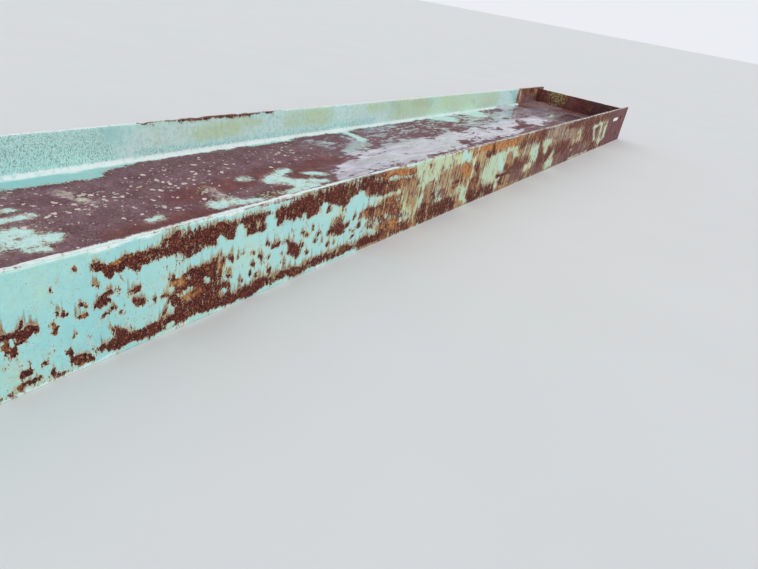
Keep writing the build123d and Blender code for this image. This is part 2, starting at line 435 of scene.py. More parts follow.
# A row is a finish and its strokes: start along the beam and across, how far it runs along and across, and radius,
# in millimetres. Later rows lie over earlier ones.
nearStrokes = (  # the drilled flange's outer face, by height
    ("flecked", -2080,140,1060,-10,80, -2300,100,220,-10,50, -2990,60,640,10,50),
    ("rust", -2990,150,40,-10,12, -2900,25,80,-7,10, -2850,120,5,-15,9, -2740,180,15,-8,9, -2700,40,60,-10,11,
     -2580,95,10,-15,9, -2560,210,5,-6,7, -2520,30,80,-12,10, -2470,150,20,-5,9, -2430,95,6,-7,7, -2400,45,10,-7,9,
     -2352,152,22,-5,9, -2310,175,1,-10,6, -2294,156,10,-3,6, -2280,154,7,-10,8, -2245,230,0,-4,5, -2246,190,0,-4,5,
     -2188,262,1,-3,6, -2188,138,18,1,7, -2178,162,4,-5,7, -2146,260,13,-8,8, -2148,246,20,-3,8, -2150,204,8,-6,8,
     -2136,164,10,8,8, -2145,147,23,3,9, -2118,172,11,2,7, -2105,128,5,-4,8, -2122,119,2,-5,6, -2205,104,1,-3,5,
     -2271,56,1,-6,6, -2314,48,8,3,9, -2112,222,2,-8,8, -2046,218,16,-8,9, -1890,212,20,-4,11, -1770,218,30,-4,9,
     -1696,222,66,-2,17, -1255,222,20,-6,13, -2062,162,28,-4,8, -2082,112,4,-6,5, -2000,116,4,-8,6, -1972,62,2,-10,5,
     -1960,70,2,-6,5, -1950,158,4,-8,7, -1838,118,42,4,22, -1862,88,62,-10,19, -1782,82,30,-14,12, -1756,158,12,-6,8,
     -1722,156,6,-6,6, -1702,160,4,-4,5, -1712,78,6,-8,7, -1680,84,4,-8,6, -1672,108,12,-6,7, -1626,104,4,-8,6,
     -1652,62,6,-8,6, -1608,162,8,-6,7, -1586,146,20,-4,6, -1600,118,6,-6,5, -1588,72,4,-16,6, -1560,150,4,-6,5,
     -1498,116,36,-20,19, -1520,144,8,-10,7, -1452,156,8,-6,7, -1422,84,8,-6,7, -1530,76,4,-6,5, -1392,118,8,-10,7,
     -1366,136,6,-8,7, -1342,160,4,-18,6, -1350,96,12,-8,6, -1322,126,10,-10,8, -1318,84,10,-10,6, -1252,108,20,-4,9,
     -1284,80,6,-6,6, -1212,152,6,-22,6, -1186,104,6,-8,6, -1172,156,6,-8,7, -1168,72,8,-8,6, -1640,40,40,0,9),
    ("ember", -2660,140,20,10,10, -2335,130,5,-12,9, -2240,146,4,-12,8, -2118,82,4,-6,7, -2214,66,2,-8,7,
     -2066,146,6,-6,6, -1950,138,50,4,12, -1968,112,18,-6,9, -1668,148,8,-6,8, -1440,144,24,-6,9, -1296,162,50,-2,9,
     -1128,146,48,-14,15, -1082,96,42,-12,12),
    ("spotty", -3048,8,898,0,10),
    ("rust", -2326,112,2,-6,6, -2313,147,13,-10,10, -2306,128,12,10,9, -2239,124,1,-5,6, -2229,166,1,-3,6,
     -2220,155,6,-2,6, -2214,54,6,-4,8, -2208,42,12,-9,9, -2196,27,30,-7,12, -2310,22,20,-2,7, -2250,22,4,-12,7,
     -2182,36,4,-4,7, -2052,130,26,-12,10, -2098,66,12,-10,8, -1925,114,65,8,13, -1862,138,72,14,21,
     -1900,148,20,4,8, -1940,92,35,-22,16, -1640,126,12,-8,8, -1446,118,10,-6,7, -1402,166,6,-16,6,
     -1290,134,54,-6,20, -1140,118,6,-14,7),
    ("ember", -2330,24,4,-10,7, -1900,84,50,2,9, -1790,128,28,-6,12, -1792,150,16,-10,8),
    ("flecked", -2150,276,690,0,14),
    ("worn", -3048,292,5468,0,5, -3048,0,5468,0,4),
    ("wornOxide", -1700,290,700,0,3),
    ("rust", -2110,236,98,-1,17, -2005,238,133,0,19, -1968,262,38,4,9, -1905,235,105,2,31, -1808,245,186,-2,25,
     -1566,240,111,4,31, -1240,255,140,7,30, -1755,108,17,-8,9, -2136,34,30,-12,13, -2110,32,150,-2,17,
     -1640,32,160,-2,14, -1480,28,280,2,19, -1200,24,100,2,12),
    ("ember", -2092,248,40,2,7, -1508,242,14,-2,9),
    ("sound", -1790,222,6,-8,11, -1722,236,6,-16,13, -1690,202,35,-4,8, -1604,240,8,-18,19, -1832,116,3,-6,8,
     -1896,66,44,-4,6, -2095,5,35,4,8, -1570,2,40,6,8, -1430,2,50,2,7, -1490,2,20,2,6, -1240,2,60,6,8),
    ("rust", -1450,250,210,5,38, -1460,226,60,-6,16, -1960,30,320,-2,20, -1920,56,120,2,16),
    ("sound", -1452,214,4,-6,9, -1352,226,30,-4,15, -1190,212,98,12,15, -1956,18,18,4,7, -1885,2,79,2,7,
     -1640,2,40,4,9),
    ("rust", -1092,240,92,-2,29, -1330,222,8,-18,8),
    ("brown", -1000,226,230,-4,21, -1076,150,70,-22,19),
    ("orange", -1010,276,242,-14,14),
    ("brown", -1080,280,80,-2,9),
    ("rust", -1110,158,100,0,5),
    ("half", -1060,110,50,-20,22),
    ("yellowed", -1260,190,24,-12,14),
    ("brown", -985,190,105,-14,22, -975,148,113,-30,34),
    ("ember", -990,112,30,-32,15, -930,78,64,-12,16),
    ("yellowed", -1050,188,170,2,9),
    ("half", -860,160,70,-10,26),
    ("streaked", -1010,70,50,-10,20, -400,276,800,0,26),
    ("rust", -1100,26,150,-2,20),
    ("brown", -960,34,270,-4,27),
    ("ember", -950,48,70,-2,10, -730,32,30,-8,12),
    ("streaked", -1120,4,240,0,7, -700,150,1100,0,105, -680,20,1080,0,30, -800,170,120,-50,62),
    ("dusky", 420,150,2020,0,105, 420,20,2020,0,30, 420,276,2020,0,26),
    ("half", -846,90,46,-18,16),
    ("yellowed", -745,262,225,-4,32, -690,200,170,-10,40),
    ("faded", -602,266,28,-14,13),
    ("ember", -748,206,10,-10,9, -640,186,50,-2,8, -666,272,18,-8,8),
    ("brown", -748,158,18,-8,9),
    ("streaked", -660,130,120,0,46),
    ("faded", -690,128,-10,-32,20),
    ("ember", -590,124,70,-8,16),
    ("rust", -665,46,305,-6,36, -672,90,52,-12,10),
    ("yellowed", -500,252,140,-12,36),
    ("faded", -446,214,46,-32,32, -276,60,66,-30,20),
    ("sound", -336,272,44,-24,24),
    ("streaked", -520,190,160,0,34),
    ("half", -560,128,90,-12,20),
    ("brown", -382,132,48,-20,20),
    ("rust", -394,148,84,-2,6),
    ("faded", -330,106,68,-20,22),
    ("streaked", -320,56,30,-30,16),
    ("orange", -310,206,78,-34,26),
    ("ember", -246,262,20,-12,12),
    ("orange", -186,262,126,-10,34),
    ("ember", -186,196,46,-24,24),
    ("brown", -190,120,70,-20,30),
    ("streaked", -120,190,70,-8,24),
    ("rust", -196,50,46,-20,24, -150,38,260,-4,34),
    ("brown", -62,150,42,-12,12),
    ("ember", -110,90,30,-20,16),
    ("orange", -190,262,610,2,28),
    ("ochre", -170,236,110,-10,24),
    ("maroon", -170,200,20,-16,18, 1420,150,580,0,100),
    ("rust", -60,240,34,-18,20, -14,280,48,-66,15),
    ("yellowed", -50,130,150,-22,40),
    ("faded", 0,196,190,0,26, 20,152,180,-2,42, 70,110,126,-10,30, 136,44,24,-8,14),
    ("sound", 120,200,56,-70,24),
    ("rust", 130,96,190,-8,9, 200,60,50,-10,22),
    ("yellowed", 220,222,110,-8,20),
    ("streaked", 250,190,50,-30,24),
    ("faded", 322,190,70,-14,22),
    ("streaked", 250,170,60,-20,24),
    ("brown", 220,130,110,-20,18, 400,250,160,-14,34),
    ("streaked", 250,60,120,-20,26, 400,196,140,-4,18),
    ("maroon", 400,232,80,-6,22, 370,112,170,-12,46),
    ("murk", 380,60,180,-20,38),
    ("dusty", 500,200,100,-20,30, 1000,192,400,-4,18),
    ("faded", 620,178,86,-14,34, 650,140,98,-24,28),
    ("cream", 560,82,90,-12,24, 2392,200,28,-110,18, -192,289,-36,-209,6),
    ("brown", 560,262,130,0,30),
    ("maroon", 700,262,190,-6,34),
    ("dusky", 640,40,360,-10,30),
    ("murk", 740,44,160,-14,24),
    ("dusty", 860,262,380,-12,34),
    ("brown", 760,176,40,-46,26),
    ("maroon", 780,100,200,-4,40, 1230,252,210,-2,32),
    ("faded", 830,192,116,-8,28, 864,156,48,-16,24, 2352,170,38,-90,20),
    ("maroon", 930,150,80,-30,26),
    ("faded", 974,40,136,4,32, 1030,96,34,4,22),
    ("ochre", 1080,176,160,-6,12),
    ("maroon", 1130,132,350,-36,56),
    ("murk", 1160,50,320,-10,36),
    ("streaked", 1450,180,250,-20,46),
    ("dusty", 1240,232,480,-16,20),
    ("cream", 1490,190,20,-70,9, 1556,204,24,-74,8, 1612,200,38,-70,11, 1700,200,16,-40,7, 1490,84,40,-22,9),
    ("maroon", 1440,262,520,-12,34, 1720,190,230,-70,56),
    ("murk", 1560,60,440,-16,40),
    ("cream", 1500,12,480,-2,5, 1960,200,210,4,14),
    ("faded", 2010,200,120,2,14),
    ("cream", 2010,170,90,-80,18),
    ("murk", 2130,164,40,-54,30),
    ("faded", 2216,196,34,-136,22, 2240,70,100,-20,22),
    ("cream", 2216,208,42,-68,16),
    ("murk", 2300,180,30,-70,17),
    ("maroon", 1980,262,460,-6,28, 2050,40,150,0,34, 2350,30,90,0,26),
    ("bareEnd", 2530,292,0,-292,80, 2700,292,0,-292,120, 2900,292,0,-292,200),
)
farStrokes = (  # the other flange's inner face, by height; its pale, chalky rows also paint in the brighter light this face gets
    ("sound", -1550,270,250,-20,34),
    ("pale", -1440,225,3840,0,105),
    ("speckled", -1440,176,1040,-4,20, -400,178,520,-4,30),
    ("greened", -1150,222,190,18,34, -900,262,80,-12,20, -600,250,300,-10,48, 60,266,180,-4,26, 320,244,1580,-8,74),
    ("olive", 300,280,100,-50,22, 560,262,240,-8,24, 1440,236,60,-12,18),
    ("flecked", 380,266,30,-16,8, 744,276,8,-10,7),
    ("spotty", 1466,246,12,-14,6, 2160,282,90,-18,7),
    ("rust", -1430,295,180,-1,6, -1250,294,260,0,10, -990,294,110,-3,16, -880,294,140,0,8, -1386,290,2,-14,5,
     -1270,290,2,-16,5, -1200,290,2,-12,5),
    ("sound", 2290,250,70,-50,40),
    ("oxide", 2520,292,0,-152,130, 2760,292,0,-152,160, 2960,292,0,-152,120),
    ("brown", 2560,292,488,-62,60),
    ("orange", 2452,290,30,-110,36, 2800,290,50,-40,22),
    ("cream", 2448,270,18,-70,12),
)
webStrokes = (  # the web's upper face; the last rows are standing rain with a painted sky reflection, the fillet's painted highlight and the drilled end
    ("redOxide", -1900,-130,340,10,46, -1560,20,560,40,60, -1050,20,350,40,50),
    ("sound", -3048,380,1408,0,46, -1940,350,60,0,40, -1840,348,160,-8,44, -1660,380,160,10,26, -1500,398,600,0,11,
     -900,396,600,-4,32, -300,388,110,-58,32, -196,330,-18,-94,20, 1010,400,110,-4,24, 1540,402,860,0,16),
    ("pale", -222,236,-108,-60,20),
    ("half", -300,190,-100,-50,26),
    ("oxide", -60,372,60,12,16),
    ("sound", 0,400,760,2,22),
    ("cream", 1980,350,380,6,30),
    ("half", 2000,300,380,10,30),
    ("crusty", -2860,-60,300,80,60, -2180,30,100,-16,42, -2120,-50,88,-2,32, -2110,-104,30,-4,20, -1756,-84,32,0,22,
     -1512,-100,76,14,38, -1256,58,30,2,24, -1160,-16,50,16,42, -1110,24,100,36,30, -1100,-40,10,-70,40,
     -1210,-128,170,-4,20, -1060,-80,100,-24,36),
    ("redOxide", -3048,0,148,60,60),
    ("oxide", -2960,150,660,20,60),
    ("crusty", -2420,0,220,-10,70, -2200,168,176,0,16, -2200,112,194,-4,20),
    ("redOxide", -2160,142,100,-4,8),
    ("spotty", -1640,152,34,6,10),
    ("lichen", -1850,230,30,-100,26, -1444,-50,8,90,26),
    ("half", -1480,30,30,16,26, -1000,-20,140,-40,36),
    ("crusty", -1420,-122,124,-4,22, -960,-14,80,-30,18),
    ("half", -1300,-110,110,10,28),
    ("dampOxide", -900,-120,200,10,34),
    ("redOxide", -1040,-14,40,-8,20, -1176,-80,20,-4,16, -960,-74,30,-4,10),
    # a highlight painted along the far fillet, where it faces the sky
    ("filletHighlight", -3048,392,5468,0,9),
    ("dampEdge", -500,290,2800,0,130),
    ("dampOxide", -700,-60,1900,120,130),
    ("wetOxide", -620,-50,60,-10,60, -440,-20,460,50,105),
    ("wetPaint", -560,-60,440,-30,44, -60,60,240,-20,50, 120,-70,320,80,66, 780,-60,160,16,36),
    ("redOxide", 400,-52,40,8,40, -820,80,160,-20,40),
    ("dampOxide", 500,100,140,-20,40, 1200,150,1300,0,200),
    ("wetOxide", 900,-80,400,20,50, 1740,-20,460,80,70, 2260,200,500,70,56),
    ("redOxide", 1300,-40,260,10,30, 2420,330,440,0,56, 2600,372,260,8,24),
    ("wetOxide", 1240,40,460,110,60),
    ("redOxide", 1560,170,440,30,24),
    ("wetPaint", 1980,230,320,30,34, 200,-40,260,70,60),
    ("pale", -290,396,170,0,24, -190,372,-20,-132,30, -226,232,-104,-62,24, 880,300,80,-24,30),
    ("wetPaint", -300,190,-180,-80,44),
    ("sound", -120,403,2540,0,20),
    # the far fillet's painted highlight again, over the rows before
    ("filletHighlight", -3048,396,5488,0,8),
    ("pale", 830,380,180,-50,52, 1290,384,230,-24,50, 1350,300,120,-16,44),
    ("wetPaint", 2000,380,300,-30,40),
    ("wetOxide", 1560,230,340,-30,50),
    ("pool", 2240,-90,560,30,110),
    ("olive", 2170,6,230,40,12),
    ("silty", 2810,390,0,-780,80),
    ("oxide", 2990,380,0,-760,70),
)
edgeStrokes = (  # both flanges' upper edges (near 0 to 19, far 100 to 119); the rubbed rows paint them pale, partly wear and partly a painted highlight
    ("primed", -2200,18,640,0,3, -1500,18,880,-1,5, -1440,104,780,0,6),
    ("flecked", -3048,2,548,0,4),
    ("wornOxide", -1240,3,140,0,4, 2430,109,618,0,30),
    # pale edges: wear and a painted highlight together
    ("rubbedAndHighlit", -900,9,400,0,8, -500,9,3548,0,16),
    ("wornOxide", 640,3,120,1,5, 1500,16,500,0,4),
    ("rust", -1200,112,300,0,9),
)
plainFaces = {  # faces alike all over: finish, how patchy, and how long and high the patches are in millimetres
    "nearInner": ("spotty", 0.55, 260, 60), "farOuter": ("spotty", 0.62, 240, 70),
    "webLow": ("spotty", 0.70, 320, 150), "lowInner": ("spotty", 0.62, 260, 60), "tip": ("worn", 0.34, 90, 40),
}


def brushed(base, strokes, along, across):
    laid = np.tile(finishes[base], (len(along), 1))
    for finish, *numbers in strokes:
        for start, level, run, rise, radius in np.reshape(numbers, (-1, 5)).tolist():
            part = ((along - start) * run + (across - level) * rise) / max(run * run + rise * rise, 1e-6)
            part = np.clip(part, 0, 1)
            away = np.hypot(along - start - part * run, across - level - part * rise) / radius
            weight = np.clip((brush["reach"] - away) / brush["soft"], 0, 1)
            weight = weight * weight * (3 - 2 * weight)
            laid += weight[:, None] * (finishes[finish] - laid)
    return laid


def wander(spots, size, seed):  # smooth wavering between about -1 and 1, in three directions
    noise.seed_set(seed)  # without it the directions change from run to run
    return np.array([noise.noise_vector(Vector(p) / size) for p in spots])


def paintBeam(piece):
    spots = placesOf(piece.data)
    x, y, z = spots.T * 1000
    side, top = beam["depth"] * 500, beam["width"] * 1000
    inner = side - beam["flange"] * 1000
    waver = 9 * wander(spots, 0.07, 1) + 4 * wander(spots, 0.022, 2)
    u, across, height = x + waver[:, 0], y + waver[:, 1], z + waver[:, 2]
    wear = np.zeros((len(spots), len(finishes["sound"])))
    near, far, upper = y < -side + 0.1, y > side - 0.1, z > top / 2
    tips, web = (z < 0.1) | (z > top - 0.1), abs(y) < inner - 0.1
    innerNear, innerFar = (y < -inner + 0.1) & ~near & ~tips, (y > inner - 0.1) & ~far & ~tips
    for base, strokes, picked, level in (("sound", nearStrokes, near, height),
                                         ("speckled", farStrokes, innerFar & upper, height),
                                         ("oxide", webStrokes, web & upper, across)):
        wear[picked] = brushed(base, strokes, u[picked], level[picked])
    for name, picked in (("nearInner", innerNear & upper), ("farOuter", far), ("webLow", web & ~upper),
                         ("lowInner", (innerNear | innerFar) & ~upper), ("tip", tips)):
        finish, patchy, long, high = plainFaces[name]
        wear[picked] = finishes[finish]
        at = spots[picked] * 1000 / np.array((long, high, high))
        blotch = np.array([noise.fractal(Vector(p), 1.0, 2.0, 3) for p in at])
        wear[picked, 0] += patchy * blotch
        wear[picked, 1] += 0.45 * blotch
    picked = tips & upper
    edge = brushed("worn", edgeStrokes, u[picked], np.where(y > 0, y - inner + 100, y + side)[picked])
    wear[picked] = edge + (wear[picked] - finishes["worn"]) * 0.35
    bare = np.clip((x - brush["bareFrom"]) / brush["bareSoft"], 0, 1)[:, None]
    keep = near | (innerFar & upper) | (web & upper) | (tips & upper)
    wear[~keep] += (bare * (finishes["oxide"] - wear))[~keep]
    for place in beam["holeZ"]:
        rim = np.hypot(x / 1000 - beam["holeX"], z / 1000 - place) < beam["holeRadius"] + 0.0005
        wear[rim & (y < -inner + 0.1)] = finishes["holeWall"]
    # rust has run upwards from its spots, because the beam stood the other way up for years
    runs = np.zeros(len(spots))
    for drop in brush["runSteps"]:
        below = brushed("sound", nearStrokes, u[near], height[near] - drop)
        below = np.clip(below[:, 0] * 1.6 - 0.6, 0, 1) * math.exp(-drop / brush["runLength"])
        runs[near] = np.maximum(runs[near], below)
    # the drilled flange's paint is paler away from its plain end
    fade = np.clip((x[near] - brush["paleFrom"]) / brush["paleSoft"], 0, 1) * np.clip(1 - 1.6 * wear[near, 0], 0, 1)
    wear[near, 2] += brush["paleStain"] * fade
    wear[near, 5] += brush["paleChalk"] * fade
    for name, picked, least in (("wear", slice(0, 4), (-0.3, 0, 0, 0)), ("film", slice(4, 8), 0)):
        layer = piece.data.attributes.new(name, "FLOAT_COLOR", "POINT")
        layer.data.foreach_set("color", np.clip(wear[:, picked], least, 2).ravel())
    layer = piece.data.attributes.new("runs", "FLOAT", "POINT")
    layer.data.foreach_set("value", runs)
    return wear


relief = {
    "scaleSize": 0.014, "scaleLift": 0.0026,  # rust scale, metres
    "lipSize": 0.55, "lipLift": 0.005,  # slow waves of the flanges' free edges
    "lipFrom": 0.06, "lipSoft": 0.08,  # where they start, from the web's middle, and over what height they grow
    "endReach": 0.004,  # the square ends stay sharp
    "seatX": 2.906, "seatReach": 0.05,  # the beam stays smooth where the plates stand
    "nickReach": 0.006,  # how far down a nick reaches
    "nicks": (  # along the beam, side (-1 near, 1 far), half width, depth
        (-2.06, -1, 0.016, 0.0030), (-1.83, -1, 0.010, 0.0022), (-1.49, -1, 0.020, 0.0034),
        (-1.17, -1, 0.012, 0.0026), (-0.86, -1, 0.024, 0.0040), (-0.35, -1, 0.020, 0.0032),
        (0.28, -1, 0.030, 0.0038), (0.95, -1, 0.034, 0.0042), (1.72, -1, 0.030, 0.0036), (2.40, -1, 0.030, 0.0040),
        (-2.30, -1, 0.014, 0.0022), (-1.75, 1, 0.016, 0.0030), (-1.42, 1, 0.020, 0.0040), (-1.16, 1, 0.030, 0.0050),
        (-0.93, 1, 0.026, 0.0046), (-0.35, 1, 0.022, 0.0030), (0.52, 1, 0.030, 0.0038), (1.40, 1, 0.034, 0.0040),
        (2.20, 1, 0.030, 0.0040), (2.76, 1, 0.024, 0.0036), (-2.62, 1, 0.020, 0.0030), (-2.81, -1, 0.018, 0.0030),
    ),
}


def displaced(piece, name, weights, size, lift, depth, direction="NORMAL"):  # moved by clouds where weights say
    group = piece.vertex_groups.new(name=name)
    steps = np.round(np.clip(weights, 0, 1) * 20).astype(int)
    for step in range(1, 21):
        picked = np.nonzero(steps == step)[0]
        if len(picked):
            group.add(picked.tolist(), step / 20, "REPLACE")
    texture = bpy.data.textures.new(name, "CLOUDS")
    texture.noise_scale, texture.noise_depth = size, depth
    choose(piece)
    bpy.ops.object.modifier_add(type="DISPLACE")
    moved = piece.modifiers[-1]
    moved.texture, moved.texture_coords, moved.direction = texture, "LOCAL", direction
    moved.strength, moved.mid_level, moved.vertex_group = lift, 0.5, name
    bpy.ops.object.modifier_apply(modifier=moved.name)


def roughenBeam(piece, wear):
    spots = placesOf(piece.data)
    height = abs(spots[:, 2] - beam["width"] / 2)
    ends = np.clip((beam["length"] / 2 - abs(spots[:, 0])) / relief["endReach"], 0, 1)
    seat = np.clip(1 - abs(spots[:, 0] - relief["seatX"]) / relief["seatReach"], 0, 1)
    seat = 1 - seat * (abs(spots[:, 1]) < beam["depth"] / 2 - 0.01)
    scale = np.clip(wear[:, 0] * 1.2 - 0.2, 0, 1) * (1 - 0.72 * wear[:, 3]) * ends * seat
    displaced(piece, "rustScale", scale, relief["scaleSize"], relief["scaleLift"], 3)
    waves = np.clip((height - relief["lipFrom"]) / relief["lipSoft"], 0, 1) * seat
    displaced(piece, "lipWaves", waves, relief["lipSize"], relief["lipLift"], 1, "Y")
    spots = placesOf(piece.data)
    for place, side, wide, deep in relief["nicks"]:
        high = (spots[:, 2] - beam["width"]) / relief["nickReach"] + 1
        lip = (high > 0) & (np.sign(spots[:, 1]) == side)
        away = abs(spots[:, 0] - place) / wide
        spots[:, 2] -= lip * np.clip(1 - away, 0, 1) ** 0.8 * deep * np.clip(high, 0, 1)
    movePlaces(piece.data, spots)


# The beam's sides laid out flat in rows, as a map for baked colours: the sides that show best are twice as sharp
beamMap = {
    "name": "OFBake", "pixels": 1024, "gap": 3,
    "fine": 0.00362, "coarse": 0.0083, "endScale": 0.0051,  # metres to a pixel
    "edgeRoom": 0.003,  # beside a flange's edge
}


def mapBeam(piece):
    mesh = piece.data
    centre, normal = facesOf(mesh)
    (x, y, z), (nx, ny, nz) = centre.T, abs(normal.T)
    long, half, side, middle = beam["length"], beam["length"] / 2, beam["depth"] / 2, beam["width"] / 2
    fine, gap, room = beamMap["fine"], beamMap["gap"], beamMap["edgeRoom"]
    inner, lip = side - beam["flange"], beam["flange"] + 2 * room
    end = (nx > 0.9) & (abs(x) > half - 0.002)
    hole = np.zeros(len(x), dtype=bool)
    for place in beam["holeZ"]:
        close = np.hypot(x - beam["holeX"], z - place) < beam["holeRadius"] + 0.0003
        hole |= close & (ny < 0.5) & (y < -inner + 0.001)
    upright, level = (ny >= nz) & ~end & ~hole, (ny < nz) & ~end & ~hole
    near, outer, tip = y < 0, abs(y) > (inner + side) / 2, abs(z - middle) > 0.13
    corner, sizes = np.empty(len(mesh.loops), dtype=np.int32), np.empty(len(x), dtype=np.int32)
    mesh.loops.foreach_get("vertex_index", corner)
    mesh.polygons.foreach_get("loop_total", sizes)
    owner = np.repeat(np.arange(len(x)), sizes)
    spots = placesOf(mesh)[corner]
    flat = np.zeros((len(corner), 2))
    line = gap
    halves = (z > middle, middle, fine, 2, 1), (z <= middle, 0, beamMap["coarse"], 1, -1)
    for shown, low, scale, parts, way in halves:
        rows = (  # faces, the axis across the row, its start and width, and which way x runs
            (upright & outer & (near == (way > 0)), 2, 0, 2 * middle, way),
            (level & shown & ~tip, 1, -inner, 2 * inner, way),
            (upright & ~outer & ~near & shown, 2, low, middle, 1),
            (upright & ~outer & near & shown, 2, low, middle, -1),
            (level & tip & shown & near, 1, -side - room, lip, way),
            (level & tip & shown & ~near, 1, inner - room, lip, way),
        )
        for faces, axis, start, wide, turn in rows:
            for part in range(parts):
                first = -half + part * long / parts
                picked = (faces & ((x >= 0) == bool(part) if parts > 1 else faces))[owner]
                along = spots[picked, 0] - first
                flat[picked, 0] = gap + (along if turn > 0 else long / parts - along) / scale
                flat[picked, 1] = line + (spots[picked, axis] - start) / scale
                line += wide / scale + gap
    print("rows of the beam's map reach", round(line), "of", beamMap["pixels"])
    column, line = 2 * gap + half / fine, gap
    for way in (-1, 1):
        picked = (end & (np.sign(x) == way))[owner]
        flat[picked, 0] = column + (side + way * spots[picked, 1]) / beamMap["endScale"]
        flat[picked, 1] = line + spots[picked, 2] / beamMap["endScale"]
        line += 2 * middle / beamMap["endScale"] + gap
    for place in beam["holeZ"]:
        picked = (hole & (abs(z - place) < 0.02))[owner]
        own = np.arctan2(z - place, x - beam["holeX"])[owner][picked]
        turn = np.arctan2(spots[picked, 2] - place, spots[picked, 0] - beam["holeX"]) - own
        turn = own + (turn + math.pi) % math.tau - math.pi
        flat[picked, 0] = column + (turn + math.pi + 0.2) * beam["holeRadius"] / fine
        flat[picked, 1] = line + (spots[picked, 1] + side) / fine
        line += beam["flange"] / fine + gap
    layer = mesh.uv_layers.new(name=beamMap["name"])
    layer.data.foreach_set("uv", (flat / beamMap["pixels"]).ravel())


wear = paintBeam(steel)
print("wear brushed on")
roughenBeam(steel, wear)
mapBeam(steel)


# Shared finishes
def makeEdgeGroup():  # where paint has gone: a ragged edge round the brushed amount
    tree, given, out = newGroup(
        "paint_edge",
        (("Vector", "Vector", None), ("Loss", "Float", 0.5), ("Streaks", "Float", 0.0)),
        (("Bare", "Float"), ("Rim", "Float"), ("Film", "Float")))
    at = given["Vector"]
    broad = clouds(at, 30, 3, 0.6, (1.0, 1.0, 0.5), 0.2)
    mid = clouds(at, 105, 3, 0.6, (1.0, 1.0, 0.42))
    fine = clouds(at, 330, 3, 0.65, (1.0, 1.0, 0.6))
    ragged = weighed(fine, 0.28, weighed(broad, 0.34, mid, 0.38))
    field = plus(spread(ragged, 0.385, 0.615, -0.5, 0.5), given["Loss"])
    lines = clouds(at, 1.0, 4, 0.62, (72.0, 72.0, 4.6), 0.4)
    field = weighed(spread(lines, 0.37, 0.63, -0.72, 0.72), given["Streaks"], field)
    plug(out["Bare"], spread(field, 0.485, 0.52, soft=True))
    plug(out["Rim"], spread(field, 0.16, 0.50, soft=True))
    plug(out["Film"], spread(field, 0.44, 0.52, 1.0, 0.0, soft=True))
    return tree


def makeRustGroup():  # scaly rust: dark maroon to orange, or a smooth mauve oxide
    tree, given, out = newGroup(
        "rust_skin",
        (("Vector", "Vector", None), ("Ember", "Float", 0.2), ("Mauve", "Float", 0.0)),
        (("Color", "Color"), ("Roughness", "Float"), ("Height", "Float")))
    at = given["Vector"]
    broad = clouds(at, 14, 5, 0.6)
    mid = clouds(at, 90, 4, 0.65)
    fine = clouds(at, 260, 4, 0.75)
    dark = mixColor(spread(weighed(fine, 0.6, mid, 0.4), 0.42, 0.6), tint(24, 9, 11), tint(100, 41, 37))
    dark = mixColor(spread(fine, 0.46, 0.62, 0.0, 0.75), dark, tint(128, 62, 50))
    warm = mixColor(spread(mid, 0.32, 0.68), tint(148, 78, 50), tint(206, 150, 88))
    glow = plus(given["Ember"], spread(plus(broad, mid), 0.75, 1.3, -0.55, 0.45))
    scale = mixColor(spread(glow, 0.1, 0.95, soft=True), dark, warm)
    speck = mixColor(spread(mid, 0.45, 0.6), tint(184, 126, 66), tint(196, 190, 150))
    scale = mixColor(spread(fine, 0.60, 0.66, 0.0, 0.9), scale, speck)
    smooth = mixColor(spread(broad, 0.3, 0.7), tint(104, 73, 80), tint(142, 109, 119))
    smooth = mixColor(spread(mid, 0.42, 0.68, 0.0, 0.75), smooth, tint(90, 54, 55))
    smooth = mixColor(spread(fine, 0.58, 0.66, 0.0, 0.6), smooth, tint(172, 146, 146))
    plug(out["Color"], mixColor(given["Mauve"], scale, smooth))
    plug(out["Roughness"], spread(mid, 0.3, 0.7, 0.72, 0.95))
    plug(out["Height"], weighed(mid, 0.6, fine, 0.4))
    return tree


def makeRunGroup():  # thin upright streaks
    tree, given, out = newGroup(
        "rust_runs", (("Vector", "Vector", None), ("Amount", "Float", 0.0)), (("Mask", "Float"),))
    at = given["Vector"]
    thin = clouds(at, 1.0, 3, 0.6, (110.0, 110.0, 7.0))
    wide = clouds(at, 1.0, 2, 0.5, (36.0, 36.0, 5.0))
    line = spread(weighed(thin, 0.6, wide, 0.4), 0.36, 0.66)
    plug(out["Mask"], spread(weighed(given["Amount"], 1.5, line), 0.88, 1.35, soft=True))
    return tree


edgeGroup, rustGroup, runGroup = makeEdgeGroup(), makeRustGroup(), makeRunGroup()


def brushedShares(name):  # an attribute's three colours and its alpha
    layer = addNode("Attribute", attribute_name=name).outputs
    split = addNode("SeparateColor")
    plug(split.inputs[0], layer["Color"])
    return (*split.outputs, layer["Alpha"])


